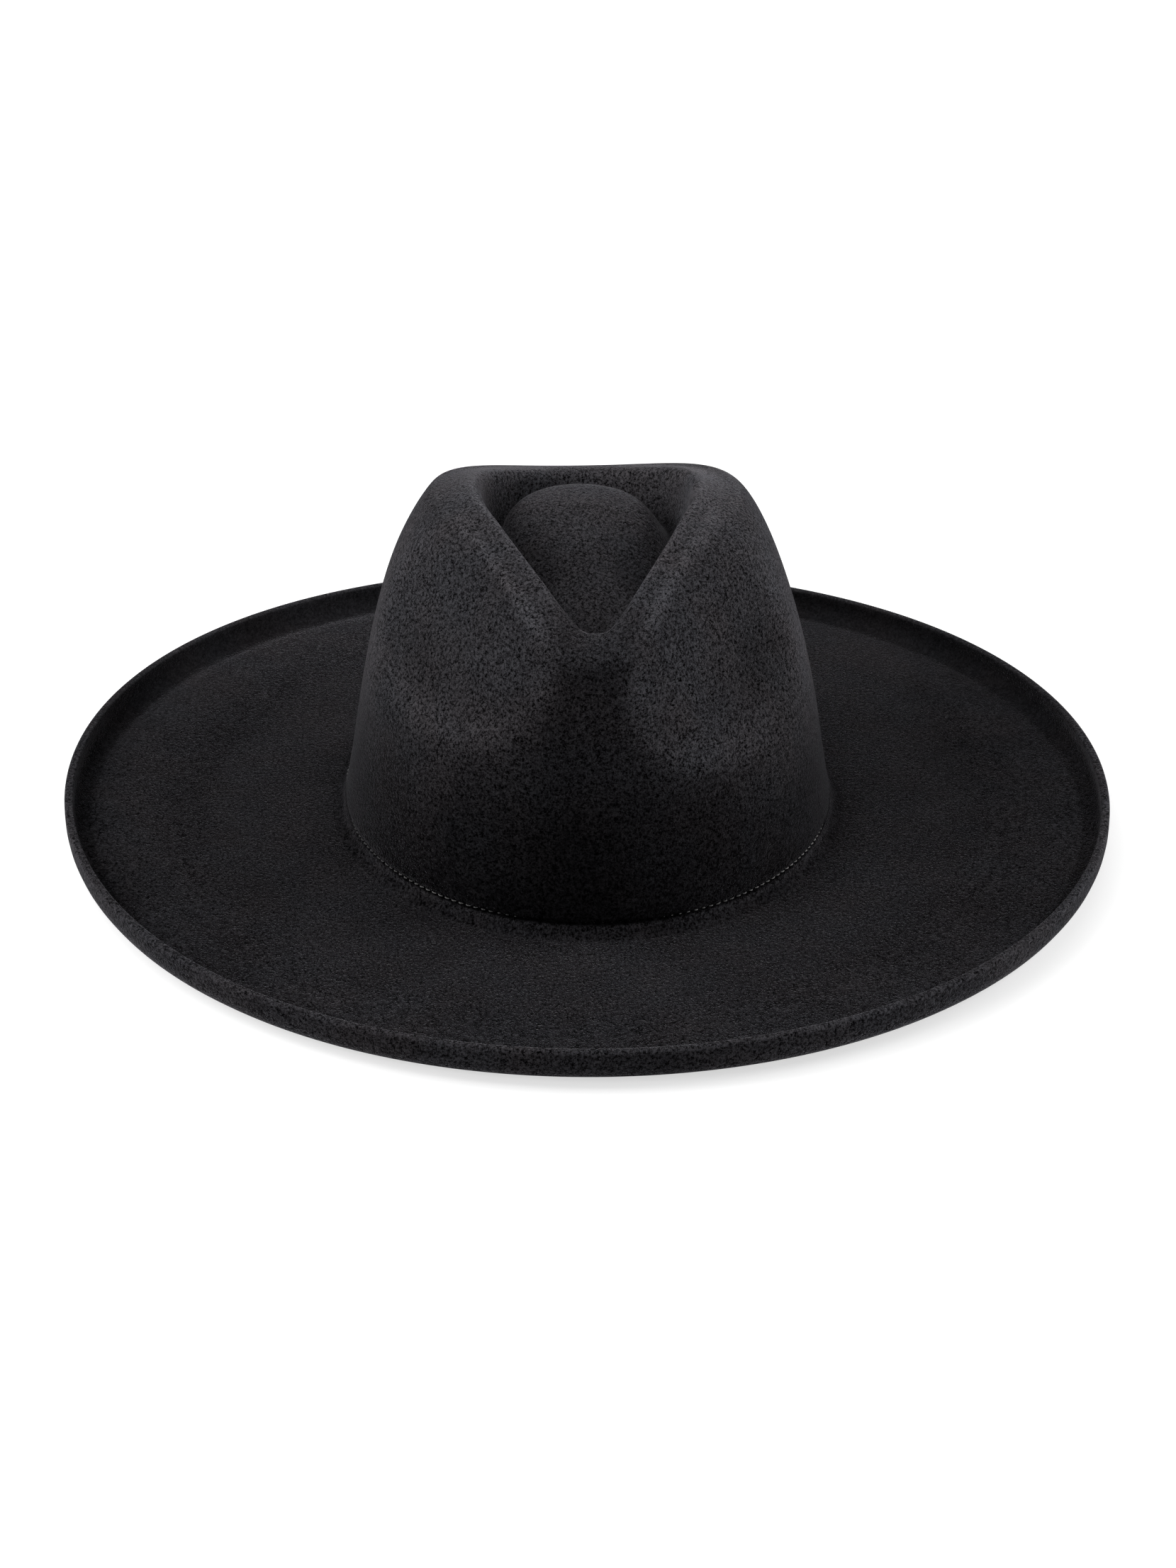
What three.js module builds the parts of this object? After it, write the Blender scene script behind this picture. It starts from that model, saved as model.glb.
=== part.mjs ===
// A wide-brimmed felt fedora: one blocked felt body with a teardrop crown,
// a raised middle, two front pinches and an upturned brim edge, and the band
// sewn inside its head opening. Millimetres, +Z up. The front of the hat
// faces -Y and the flat of the brim rests on z = 0.

import * as THREE from 'three';

// Driving dimensions

const FELT = 3.0; // thickness of the felt
const AROUND = 72; // steps round every section
const BREAK_RADIUS = 5; // fillet between crown and brim, on its upper side
const BREAK_START = 10; // degrees: the crown's foot leans this far from upright

const BRIM = {
  half: 187, // half of its width, over the upturned edge
  front: -200, // where it crosses the mid plane, in front and behind
  back: 193,
  curlRadius: 11.4, // outer radius of the upturned edge
  curlTurn: 93, // degrees the edge turns up
  flatShare: 0.45, // share of the brim, from the break, that lies dead flat
};

// The brim is not a perfect oval and its edge does not lie level. Each row is
// one wave round the brim: how often it turns, and how far it moves the edge
// outward and upward, in its cosine and its sine part.
const BRIM_WAVES = [
  { turns: 0, outCos: 0, outSin: 0, upCos: 1.62, upSin: 0 },
  { turns: 1, outCos: 0, outSin: 0, upCos: 0, upSin: -0.78 },
  { turns: 2, outCos: 0, outSin: 0.3, upCos: -0.63, upSin: 1.0 },
  { turns: 3, outCos: 1.1, outSin: 0.36, upCos: 0, upSin: 0 },
  { turns: 4, outCos: -0.9, outSin: 0, upCos: 0, upSin: 0 },
];

// The middle of the raised bump, where the sections of the crown begin.
const BUMP_SUMMIT = { aside: -1.5, y: 27, up: 104.6 };

// Sections of the crown, from the bump out over the groove and the rim and
// down to the foot. front and back are where a section crosses the mid plane
// and half is its half width. tip is 0 for an oval and about 1 for a teardrop
// that points forward, and nose is the half width of its blunt front. aside
// moves the section toward +X. The last four are its heights: in front, at the
// sides and behind, and how much the corners between side and back stand above
// the run of the other three.
const CROWN_SECTIONS = [
  { name: 'bump_top', front: 5, back: 47, half: 17, tip: 0.6, nose: 0, aside: -1.5, frontUp: 101.5, sideUp: 103, backUp: 104, cornerUp: 0 },
  { name: 'bump_edge', front: -34, back: 56, half: 27, tip: 0.9, nose: 0, aside: -1.5, frontUp: 94.5, sideUp: 97, backUp: 99.5, cornerUp: 0 },
  { name: 'groove', front: -57, back: 65, half: 31, tip: 1.1, nose: 2, aside: 0, frontUp: 90.5, sideUp: 92, backUp: 88, cornerUp: 0 },
  { name: 'groove_wall', front: -70, back: 72, half: 34.5, tip: 1.2, nose: 3.5, aside: 0, frontUp: 95, sideUp: 102, backUp: 91, cornerUp: 0 },
  { name: 'rim_inner', front: -75.8, back: 77.5, half: 37, tip: 1.1, nose: 4.2, aside: 0.1, frontUp: 99.2, sideUp: 115.5, backUp: 97, cornerUp: 0.8 },
  { name: 'rim_outer', front: -89.5, back: 86, half: 45.9, tip: 1.38, nose: 11.9, aside: -0.9, frontUp: 97.5, sideUp: 113.8, backUp: 97, cornerUp: 0.3 },
  { name: 'shoulder', front: -94, back: 94, half: 53.2, tip: 0.8, nose: 11, aside: 0.3, frontUp: 92, sideUp: 110.6, backUp: 92.5, cornerUp: 1.9 },
  { name: 'upper_side', front: -97.5, back: 98, half: 63.4, tip: 0.45, nose: 12, aside: -0.2, frontUp: 78, sideUp: 91, backUp: 79, cornerUp: 0 },
  { name: 'middle_side', front: -101.5, back: 102, half: 73.9, tip: 0.15, nose: 9, aside: 0, frontUp: 55, sideUp: 58, backUp: 53, cornerUp: 0 },
  { name: 'lower_side', front: -105, back: 105, half: 81.8, tip: 0, nose: 4, aside: 0, frontUp: 26, sideUp: 26, backUp: 26, cornerUp: 0 },
  { name: 'foot', front: -106.5, back: 106, half: 87.2, tip: 0, nose: 0, aside: 0, frontUp: 7.13, sideUp: 7.13, backUp: 7.13, cornerUp: 0 },
];
const TIP_BLUNTNESS = 0.22; // rounds off the point of a teardrop
const NOSE_CORNER = 0.14; // sine of the angle over which a blunt front widens
const RIM = CROWN_SECTIONS.findIndex((row) => row.name === 'rim_outer') + 1;

// Hand-pressed hollows in the crown's side, pulled in toward its middle.
// around is in degrees from the front, + toward +X, and so are their reaches
// toward the nose and away from it. above and below are reaches in height.
const HOLLOWS = [
  { name: 'left_pinch', around: -42, up: 84, toNose: 32, away: 42, above: 40, below: 25, depth: 6.5 },
  { name: 'right_pinch', around: 34, up: 80, toNose: 28, away: 36, above: 40, below: 27, depth: 6.5 },
];
const HOLLOW_LIP = 0.09; // how softly the lip round a hollow is rounded
const HOLLOW_FADE = 0.8; // sections before and after the rim over which hollows set in

const SWEATBAND = { thickness: 1.2, gap: 0.3, bottom: 4 };

// Steps along the crown's spline, counted in sections from the bump's summit.
// The sweatband lies along the last of them, with rings where the felt's are.
const TOP_STEPS = [0.5, 1, 1.5, 2, 2.5, 3, 3.5, 4, 4.5, 5, 5.5, 6, 6.5, 7, 7.5, 8, 8.5, 9];
const BAND_STEPS = [9.5, 10, 10.5, 11];
const BRIM_SHARES = [0.2, BRIM.flatShare, 0.75, 1];
const BREAK_ANGLES = [35, 60, 90];
const CURL_SHARES = [0.25, 0.5, 0.75, 1];

const rad = THREE.MathUtils.degToRad;

// Ovals and teardrops

function ovalPoint(angle, front, back, half, up) {
  const y = (front + back) / 2 - ((back - front) / 2) * Math.cos(angle);
  return new THREE.Vector3(half * Math.sin(angle), y, up);
}

// How much a teardrop narrows the oval at an angle from the front: a power of
// the sine of the half angle, rounded off at the point.
function narrowing(angle, tip) {
  const half = Math.sin(angle / 2);
  const blunt = TIP_BLUNTNESS ** 2;
  return ((half * half + blunt) / (1 + blunt)) ** (tip / 2);
}

// The widest that sine times narrowing gets, which scales a section to its
// half width.
function widestOf(tip) {
  let widest = 0;
  for (let degree = 60; degree < 150; degree += 0.25) {
    widest = Math.max(widest, Math.sin(rad(degree)) * narrowing(rad(degree), tip));
  }
  return widest;
}

// Crown

// The height runs through the front, side and back values as a level, a tilt
// and a saddle, and the corners are added behind the sides.
function sectionPoint(row, angle) {
  const sine = Math.sin(angle);
  const ahead = (1 + Math.cos(angle)) / 2;
  const half = (row.half * narrowing(angle, row.tip)) / row.widest;
  const level = (row.frontUp + row.backUp + 2 * row.sideUp) / 4;
  const tilt = (row.frontUp - row.backUp) / 2;
  const saddle = (row.frontUp + row.backUp - 2 * row.sideUp) / 4;
  const corners = row.cornerUp * Math.sin(2 * angle) ** 2 * (1 - ahead);
  const up = level + tilt * Math.cos(angle) + saddle * Math.cos(2 * angle) + corners;
  const point = ovalPoint(angle, row.front, row.back, half, up);
  point.x += row.aside + (row.nose * ahead * sine) / Math.hypot(sine, NOSE_CORNER);
  return point;
}

// A natural cubic spline through points that are one step apart. Its bends
// come from the usual three-term equations, solved down and back up.
function splineThrough(points) {
  const last = points.length - 1;
  const bends = points.map(() => new THREE.Vector3());
  const shares = points.map(() => 0);
  for (let i = 1; i < last; i += 1) {
    const pivot = 4 - shares[i - 1];
    const change = points[i + 1].clone().addScaledVector(points[i], -2).add(points[i - 1]);
    shares[i] = 1 / pivot;
    bends[i] = change.multiplyScalar(6).sub(bends[i - 1]).divideScalar(pivot);
  }
  for (let i = last - 1; i > 0; i -= 1) {
    bends[i].addScaledVector(bends[i + 1], -shares[i]);
  }
  return (step) => {
    const i = Math.min(Math.floor(step), last - 1);
    const b = step - i;
    const a = 1 - b;
    return new THREE.Vector3()
      .addScaledVector(points[i], a)
      .addScaledVector(points[i + 1], b)
      .addScaledVector(bends[i], (a ** 3 - a) / 6)
      .addScaledVector(bends[i + 1], (b ** 3 - b) / 6);
  };
}

// A hollow is a dish that is deepest in its middle and ends in a round lip at
// its reach on each side. The hollows set in over the rim, so that they leave
// the top alone.
function pressHollows(point, step) {
  const fade = THREE.MathUtils.smoothstep(step, RIM - HOLLOW_FADE, RIM + HOLLOW_FADE);
  const reach = Math.hypot(point.x, point.y);
  const around = THREE.MathUtils.radToDeg(Math.atan2(point.x, -point.y));
  let pull = 0;
  for (const row of HOLLOWS) {
    const aside = (around - row.around) * Math.sign(row.around);
    const above = point.z - row.up;
    const far = (aside / (aside < 0 ? row.toNose : row.away)) ** 2
      + (above / (above < 0 ? row.below : row.above)) ** 2;
    pull += row.depth * fade * HOLLOW_LIP * Math.log1p(Math.exp((1 - far) / HOLLOW_LIP));
  }
  point.x -= (pull * point.x) / reach;
  point.y -= (pull * point.y) / reach;
  return point;
}

const scaledSections = CROWN_SECTIONS.map((row) => ({ ...row, widest: widestOf(row.tip) }));
const summit = new THREE.Vector3(BUMP_SUMMIT.aside, BUMP_SUMMIT.y, BUMP_SUMMIT.up);
const profiles = new Map(); // one spline for each angle that was asked for

function crownPoint(angle, step) {
  if (!profiles.has(angle)) {
    const points = scaledSections.map((row) => sectionPoint(row, angle));
    profiles.set(angle, splineThrough([summit, ...points]));
  }
  return pressHollows(profiles.get(angle)(step), step);
}

// The crown's skin, moved inward by a depth along its normal.
function crownSkin(angle, step, depth) {
  const point = crownPoint(angle, step);
  if (depth === 0) return point;
  const small = 0.01;
  const alongRing = crownPoint(angle + small, step).sub(crownPoint(angle - small, step));
  const before = Math.max(step - small, 0);
  const after = Math.min(step + small, CROWN_SECTIONS.length);
  const alongProfile = crownPoint(angle, after).sub(crownPoint(angle, before));
  const inward = alongRing.cross(alongProfile).normalize();
  return point.addScaledVector(inward, depth);
}

// Brim

const foot = CROWN_SECTIONS[CROWN_SECTIONS.length - 1];

function breakPoint(angle, degrees, depth) {
  const radius = BREAK_RADIUS + depth;
  const start = BREAK_RADIUS * (1 - Math.cos(rad(BREAK_START)));
  const out = BREAK_RADIUS - radius * Math.cos(rad(degrees)) - start;
  const up = FELT + BREAK_RADIUS - radius * Math.sin(rad(degrees));
  return ovalPoint(angle, foot.front - out, foot.back + out, foot.half + out, up);
}

function brimWave(angle, cosine, sine) {
  let sum = 0;
  for (const row of BRIM_WAVES) {
    sum += row[cosine] * Math.cos(row.turns * angle) + row[sine] * Math.sin(row.turns * angle);
  }
  return sum;
}

// A point of the brim at a share of the way from the break to the curl, and
// further out by out millimetres.
function brimPoint(angle, share, out, up) {
  const breakEnd = BREAK_RADIUS;
  const curl = BRIM.curlRadius;
  const front = THREE.MathUtils.lerp(foot.front - breakEnd, BRIM.front + curl, share) - out;
  const back = THREE.MathUtils.lerp(foot.back + breakEnd, BRIM.back - curl, share) + out;
  const half = THREE.MathUtils.lerp(foot.half + breakEnd, BRIM.half - curl, share) + out;
  const point = ovalPoint(angle, front, back, half, up);
  const loose = THREE.MathUtils.clamp((share - BRIM.flatShare) / (1 - BRIM.flatShare), 0, 1);
  const grown = 1 + (share * brimWave(angle, 'outCos', 'outSin')) / BRIM.half;
  point.x *= grown;
  point.y *= grown;
  point.z += loose * loose * brimWave(angle, 'upCos', 'upSin');
  return point;
}

// depth 0 is the upper skin of the upturned edge, FELT its outer skin.
function curlPoint(angle, share, depth) {
  const turn = rad(BRIM.curlTurn * share);
  const radius = BRIM.curlRadius - FELT + depth;
  return brimPoint(angle, 1, radius * Math.sin(turn), BRIM.curlRadius - radius * Math.cos(turn));
}

// Solids

// One closed surface through rings of points, each ring closed on itself.
// A ring of one point is a pole.
function skinGeometry(rings) {
  const vertices = [];
  const starts = [];
  for (const ring of rings) {
    starts.push(vertices.length);
    vertices.push(...ring);
  }
  const triangles = [];
  for (let r = 0; r + 1 < rings.length; r += 1) {
    const inner = rings[r].length;
    const outer = rings[r + 1].length;
    for (let k = 0; k < AROUND; k += 1) {
      const next = (k + 1) % AROUND;
      const a = starts[r] + (inner === 1 ? 0 : k);
      const b = starts[r] + (inner === 1 ? 0 : next);
      const c = starts[r + 1] + (outer === 1 ? 0 : k);
      const d = starts[r + 1] + (outer === 1 ? 0 : next);
      if (outer !== 1) triangles.push(a, c, d);
      if (inner !== 1) triangles.push(a, d, b);
    }
  }
  const geometry = new THREE.BufferGeometry().setFromPoints(vertices);
  geometry.setIndex(triangles);
  geometry.computeVertexNormals();
  return geometry;
}

function ringOf(pointAt) {
  return Array.from({ length: AROUND }, (_, k) => pointAt((2 * Math.PI * k) / AROUND));
}

function feltBody() {
  const upper = [[summit.clone()]];
  const under = [[summit.clone().setZ(BUMP_SUMMIT.up - FELT)]];
  for (const step of [...TOP_STEPS, ...BAND_STEPS]) {
    upper.push(ringOf((angle) => crownSkin(angle, step, 0)));
    under.push(ringOf((angle) => crownSkin(angle, step, FELT)));
  }
  for (const degrees of BREAK_ANGLES) {
    upper.push(ringOf((angle) => breakPoint(angle, degrees, 0)));
    under.push(ringOf((angle) => breakPoint(angle, degrees, FELT)));
  }
  for (const share of BRIM_SHARES) {
    upper.push(ringOf((angle) => brimPoint(angle, share, 0, FELT)));
    under.push(ringOf((angle) => brimPoint(angle, share, 0, 0)));
  }
  for (const share of CURL_SHARES) {
    upper.push(ringOf((angle) => curlPoint(angle, share, 0)));
    under.push(ringOf((angle) => curlPoint(angle, share, FELT)));
  }
  return skinGeometry([...upper, ...under.reverse()]);
}

// The band leans on the inside of the crown, clear of it by its gap. Below
// the foot it goes straight down.
function sweatband() {
  const near = FELT + SWEATBAND.gap;
  const skinAt = (depth) => {
    const rings = BAND_STEPS.map((step) => ringOf((angle) => crownSkin(angle, step, depth)));
    const hem = rings[rings.length - 1].map((point) => point.clone().setZ(SWEATBAND.bottom));
    return [...rings, hem];
  };
  const outside = skinAt(near);
  const inside = skinAt(near + SWEATBAND.thickness);
  return skinGeometry([inside[0], ...outside, ...inside.slice(1).reverse(), inside[0]]);
}

// Assembly

const felt = new THREE.MeshStandardMaterial({ color: 0x2b2a2c, roughness: 0.95, metalness: 0 });
const ribbon = new THREE.MeshStandardMaterial({ color: 0x1c1a19, roughness: 0.6, metalness: 0 });

function piece(name, geometry, material) {
  const mesh = new THREE.Mesh(geometry, material);
  mesh.name = name;
  return mesh;
}

const fedora = new THREE.Group();
fedora.add(piece('felt_body', feltBody(), felt));
fedora.add(piece('sweatband', sweatband(), ribbon));

// The origin stands under the middle of the whole hat.
const middle = new THREE.Box3().setFromObject(fedora).getCenter(new THREE.Vector3());
fedora.position.set(-middle.x, -middle.y, 0);

export default fedora;
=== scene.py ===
# %% [markdown]
# # A wide-brimmed felt fedora
# The hat is one piece of wool felt, steamed over a block: a teardrop crown with a raised middle, two
# pinches beside its nose, a flat brim, and an upturned edge that is simply cut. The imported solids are
# loaded first, and everything below is drawn in their frame, in metres, with the front facing -Y.

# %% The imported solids
import math

import bpy
import numpy as np
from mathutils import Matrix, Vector


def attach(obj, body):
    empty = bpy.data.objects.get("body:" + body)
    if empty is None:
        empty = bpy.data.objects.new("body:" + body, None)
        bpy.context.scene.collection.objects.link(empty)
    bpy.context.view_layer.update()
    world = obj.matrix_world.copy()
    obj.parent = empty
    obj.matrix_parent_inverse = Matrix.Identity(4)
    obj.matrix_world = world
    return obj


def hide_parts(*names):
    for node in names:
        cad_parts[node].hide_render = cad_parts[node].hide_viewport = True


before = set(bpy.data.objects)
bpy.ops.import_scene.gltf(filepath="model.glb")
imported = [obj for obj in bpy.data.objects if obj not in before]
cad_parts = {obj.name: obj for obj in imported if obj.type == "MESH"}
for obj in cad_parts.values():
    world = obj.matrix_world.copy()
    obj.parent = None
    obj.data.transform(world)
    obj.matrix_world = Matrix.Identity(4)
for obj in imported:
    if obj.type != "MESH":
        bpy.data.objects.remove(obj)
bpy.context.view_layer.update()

print("solids:", sorted(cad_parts))

# %% [markdown]
# ## The shape in numbers
# A blocked hat is best described from the middle of its top outwards, as rings that run round it.
# Each row below is one ring, in millimetres: where it crosses the middle line in front and behind, its
# half width, how much of a teardrop it is, how blunt its nose is, how far it lies aside, and its heights.
# They are the same rings as in the solids, so the finely drawn felt lies where they are.

# %% Rings of the crown
MM = 0.001
FELT = 3.0
COLUMNS = ("front", "back", "half", "tip", "nose", "aside", "front_up", "side_up", "back_up", "corner_up")
CROWN_SECTIONS = {
    "bump_top": (5, 47, 17, 0.6, 0, -1.5, 101.5, 103, 104, 0),
    "bump_edge": (-34, 56, 27, 0.9, 0, -1.5, 94.5, 97, 99.5, 0),
    "groove": (-57, 65, 31, 1.1, 2, 0, 90.5, 92, 88, 0),
    "groove_wall": (-70, 72, 34.5, 1.2, 3.5, 0, 95, 102, 91, 0),
    "rim_inner": (-75.8, 77.5, 37, 1.1, 4.2, 0.1, 99.2, 115.5, 97, 0.8),
    "rim_outer": (-89.5, 86, 45.9, 1.38, 11.9, -0.9, 97.5, 113.8, 97, 0.3),
    "shoulder": (-94, 94, 53.2, 0.8, 11, 0.3, 92, 110.6, 92.5, 1.9),
    "upper_side": (-97.5, 98, 63.4, 0.45, 12, -0.2, 78, 91, 79, 0),
    "middle_side": (-101.5, 102, 73.9, 0.15, 9, 0, 55, 58, 53, 0),
    "lower_side": (-105, 105, 81.8, 0, 4, 0, 26, 26, 26, 0),
    "foot": (-106.5, 106, 87.2, 0, 0, 0, 7.13, 7.13, 7.13, 0),
}
BUMP_SUMMIT = (-1.5, 27, 104.6)
TIP_BLUNTNESS = 0.22
NOSE_CORNER = 0.14
RIM = list(CROWN_SECTIONS).index("rim_outer") + 1
LAST_STEP = len(CROWN_SECTIONS)
FOOT = dict(zip(COLUMNS, CROWN_SECTIONS["foot"]))

print("crown sections:", len(CROWN_SECTIONS))

# %% [markdown]
# ## A skin through rings
# One function of two parameters gives any point of the crown: the angle round the hat, from the front,
# and the step along the rings, from the summit down. Between two rings a natural cubic spline does what
# felt does between two firm lines: it bends as little as it can.

# %% Ovals and teardrops
HALF_TURN_SAMPLES = 721


def narrowing(angles, tip):
    """A power of the sine of half the angle, rounded off at the point: 1 behind, smallest in front."""
    blunt = TIP_BLUNTNESS**2
    return ((np.sin(angles / 2) ** 2 + blunt) / (1 + blunt)) ** (tip / 2)


def oval(angles, front, back, half, up):
    """x = half width times the sine, y = middle minus half length times the cosine, at one height."""
    x = half * np.sin(angles)
    y = (front + back) / 2 - (back - front) / 2 * np.cos(angles)
    return np.stack(np.broadcast_arrays(x, y, up), -1)


def section_rings(angles):
    """All rings at all angles: ovals narrowed toward the front, at the same greatest width. The nose is
    made blunt by moving its sides out, by nose times the share ahead times sine / hypot(sine, corner).
    The height is a level, a tilt and a saddle through the front, side and back values, and the corners
    stand a little above it behind the sides."""
    table = np.array(list(CROWN_SECTIONS.values()), float)
    r = {name: table[:, i, None] for i, name in enumerate(COLUMNS)}
    fine = np.linspace(0, np.pi, HALF_TURN_SAMPLES)
    widest = (np.sin(fine) * narrowing(fine, r["tip"])).max(1)[:, None]
    sine, cosine = np.sin(angles), np.cos(angles)
    ahead = (1 + cosine) / 2
    level = (r["front_up"] + r["back_up"] + 2 * r["side_up"]) / 4
    tilt = (r["front_up"] - r["back_up"]) / 2
    saddle = (r["front_up"] + r["back_up"] - 2 * r["side_up"]) / 4
    corners = r["corner_up"] * np.sin(2 * angles) ** 2 * (1 - ahead)
    up = level + tilt * cosine + saddle * np.cos(2 * angles) + corners
    rings = oval(angles, r["front"], r["back"], r["half"] * narrowing(angles, r["tip"]) / widest, up)
    rings[..., 0] += r["aside"] + r["nose"] * ahead * sine / np.hypot(sine, NOSE_CORNER)
    return rings


quarter_rings = section_rings(np.radians([0, 90, 180, 270]))
print("rings at four angles:", quarter_rings.shape, "highest", quarter_rings[..., 2].max().round(1), "mm")

# %% The spline between the rings


def spline_weights(steps, count):
    """How much each of count knots, one step apart, weighs in a natural cubic spline at each step.
    The bends solve the usual equations: a bend, four times the next and the one after it are six times
    the change of slope, with no bend at either end."""
    rows = np.arange(1, count - 1)
    change = np.zeros((count, count))
    change[rows, rows - 1], change[rows, rows], change[rows, rows + 1] = 6, -12, 6
    system = np.eye(count)
    system[rows, rows - 1], system[rows, rows], system[rows, rows + 1] = 1, 4, 1
    system[1, 0] = system[count - 2, count - 1] = 0
    bends = np.linalg.solve(system, change)
    i = np.minimum(steps.astype(int), count - 2)
    b = (steps - i)[:, None]
    a = 1 - b
    knots = np.eye(count)
    return a * knots[i] + b * knots[i + 1] + ((a**3 - a) * bends[i] + (b**3 - b) * bends[i + 1]) / 6


def smooth(x, low, high):
    """0 below low, 1 above high, and between them t t (3 - 2 t), an S curve."""
    t = np.clip((x - low) / (high - low), 0, 1)
    return t * t * (3 - 2 * t)


def azimuth(points):
    """Degrees round the hat from the front, + toward +X."""
    return np.degrees(np.arctan2(points[..., 0], -points[..., 1]))


halfway = spline_weights(np.array([0.5]), LAST_STEP + 1)[0]
print("halfway to the first ring, summit and ring weigh", halfway[:2].round(2))

# %% [markdown]
# ## Pinches and creases
# A hatter pinches the crown with a thumb and a finger while the felt is warm. Each pinch is a shallow
# dish with a round lip, pressed in toward the middle. The creases are only for the eye: a soft fold on
# the left, the raised lips that run from the nose down round each pinch, and the two edges that the felt
# keeps along the flat of its rim. Sculpting could do this by hand; a short table can be read and mended.

# %% The two pinches
HOLLOW_COLUMNS = ("around", "up", "to_nose", "away", "above", "below", "depth")
HOLLOWS = {
    "left_pinch": (-42, 84, 32, 42, 40, 25, 6.5),
    "right_pinch": (34, 80, 28, 36, 40, 27, 6.5),
}
HOLLOW_LIP = 0.09
HOLLOW_FADE = 0.8
NORMAL_STEP = 0.01
TINY = 1e-12


def hollow_distance(points, row):
    """The squared distance from a hollow's centre, in its reaches: 1 on its lip."""
    h = dict(zip(HOLLOW_COLUMNS, row))
    aside = (azimuth(points) - h["around"]) * np.sign(h["around"])
    above = points[..., 2] - h["up"]
    far = (aside / np.where(aside < 0, h["to_nose"], h["away"])) ** 2
    return far + (above / np.where(above < 0, h["below"], h["above"])) ** 2


def press_hollows(points, steps):
    """Pulls points toward the middle line by depth times 1 - q, where q is the squared distance from
    the hollow's centre in reaches: a dish. Past its edge it dies away as lip ln(1 + exp((1 - q) / lip)),
    so the lip is round. It fades in over the rim."""
    fade = smooth(steps, RIM - HOLLOW_FADE, RIM + HOLLOW_FADE)[:, None]
    pull = np.zeros(points.shape[:2])
    for row in HOLLOWS.values():
        inside = 1 - hollow_distance(points, row)
        depth = row[HOLLOW_COLUMNS.index("depth")]
        pull += depth * fade * HOLLOW_LIP * np.logaddexp(0, inside / HOLLOW_LIP)
    reach = np.hypot(points[..., 0], points[..., 1]) + TINY
    points = points.copy()
    points[..., :2] *= (1 - pull / reach)[..., None]
    return points


def crown_points(angles, steps):
    """The crown's outside at every step and angle, before the creases: the rings and the summit, each
    times its weight in the spline, then pressed."""
    summit = np.broadcast_to(np.array(BUMP_SUMMIT, float), (1, len(angles), 3))
    knots = np.concatenate([summit, section_rings(angles)])
    weights = spline_weights(steps, LAST_STEP + 1)
    return press_hollows(np.einsum("sk,kac->sac", weights, knots), steps)


def crown_normals(angles, steps):
    """Outward normals, from how far the skin moves for a small change of angle and of step."""
    around = crown_points(angles + NORMAL_STEP, steps) - crown_points(angles - NORMAL_STEP, steps)
    down = crown_points(angles, np.minimum(steps + NORMAL_STEP, LAST_STEP))
    down = down - crown_points(angles, np.maximum(steps - NORMAL_STEP, 0))
    normals = np.cross(down, around)
    return normals / (np.linalg.norm(normals, axis=-1, keepdims=True) + TINY)


print("pinches:", ", ".join(HOLLOWS))

# %% Creases and the rim's edges
CREASE_COLUMNS = ("around_a", "up_a", "around_b", "up_b", "width", "height")
CREASES = {
    "left_fold": (-84, 57, -54, 64, 4.5, 0.9),
    "left_bell": (-11, 84, -18, 70, 5, 0.8),
    "left_lip": (-18, 70, -31, 60.5, 5, 0.8),
    "left_lip_end": (-31, 60.5, -50, 61, 5, 0.7),
    "right_bell": (8, 82, 10, 70, 5, 0.7),
    "right_lip": (10, 70, 16, 60, 5, 0.4),
    "right_lip_end": (16, 60, 34, 52, 5, 0.2),
}
CREASE_REACH = 80
CREASE_FADE = (RIM - 0.3, RIM + 0.7)
EDGE_COLUMNS = ("step", "width", "height")
RIM_EDGES = {"inner_edge": (5.05, 0.2, 0.7), "outer_edge": (6.0, 0.28, 1.1)}
EDGES_BEGIN = (6, 16)
EDGES_END = (60, 95)


def edge_height(points, steps):
    """The two edges along the flat of the rim: height times exp(-(d/width)^2), d in steps. They begin
    and end at some degrees from the front, on both sides."""
    around = np.abs(azimuth(points))
    span = smooth(around, *EDGES_BEGIN) * (1 - smooth(around, *EDGES_END))
    edges = np.zeros(around.shape)
    for row in RIM_EDGES.values():
        e = dict(zip(EDGE_COLUMNS, row))
        edges += e["height"] * span * np.exp(-(((steps - e["step"]) / e["width"]) ** 2))[:, None]
    return edges


def crease_height(points, steps):
    """Each crease is a low ridge: its height times exp(-(d/width)^2), d from a line on the side. Where
    two meet, the higher one counts."""
    around = azimuth(points)
    ridge = np.zeros(around.shape)
    for row in CREASES.values():
        c = dict(zip(CREASE_COLUMNS, row))
        u = np.radians(around - c["around_a"]) * CREASE_REACH
        w = points[..., 2] - c["up_a"]
        run = np.radians(c["around_b"] - c["around_a"]) * CREASE_REACH
        rise = c["up_b"] - c["up_a"]
        along = np.clip((u * run + w * rise) / (run * run + rise * rise), 0, 1)
        d = np.hypot(u - along * run, w - along * rise)
        ridge = np.maximum(ridge, c["height"] * np.exp(-((d / c["width"]) ** 2)))
    return ridge * smooth(steps, *CREASE_FADE)[:, None] + edge_height(points, steps)


print("creases:", len(CREASES), "and rim edges:", len(RIM_EDGES))

# %% [markdown]
# ## Brim and upturned edge
# The crown turns into the brim over a small fillet, the break. The brim runs flat, lifts a little where
# it has been handled, and ends in a curl of just over a quarter turn. All three are ovals again, swept
# along a profile, so they join the crown's rings without a seam.

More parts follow.
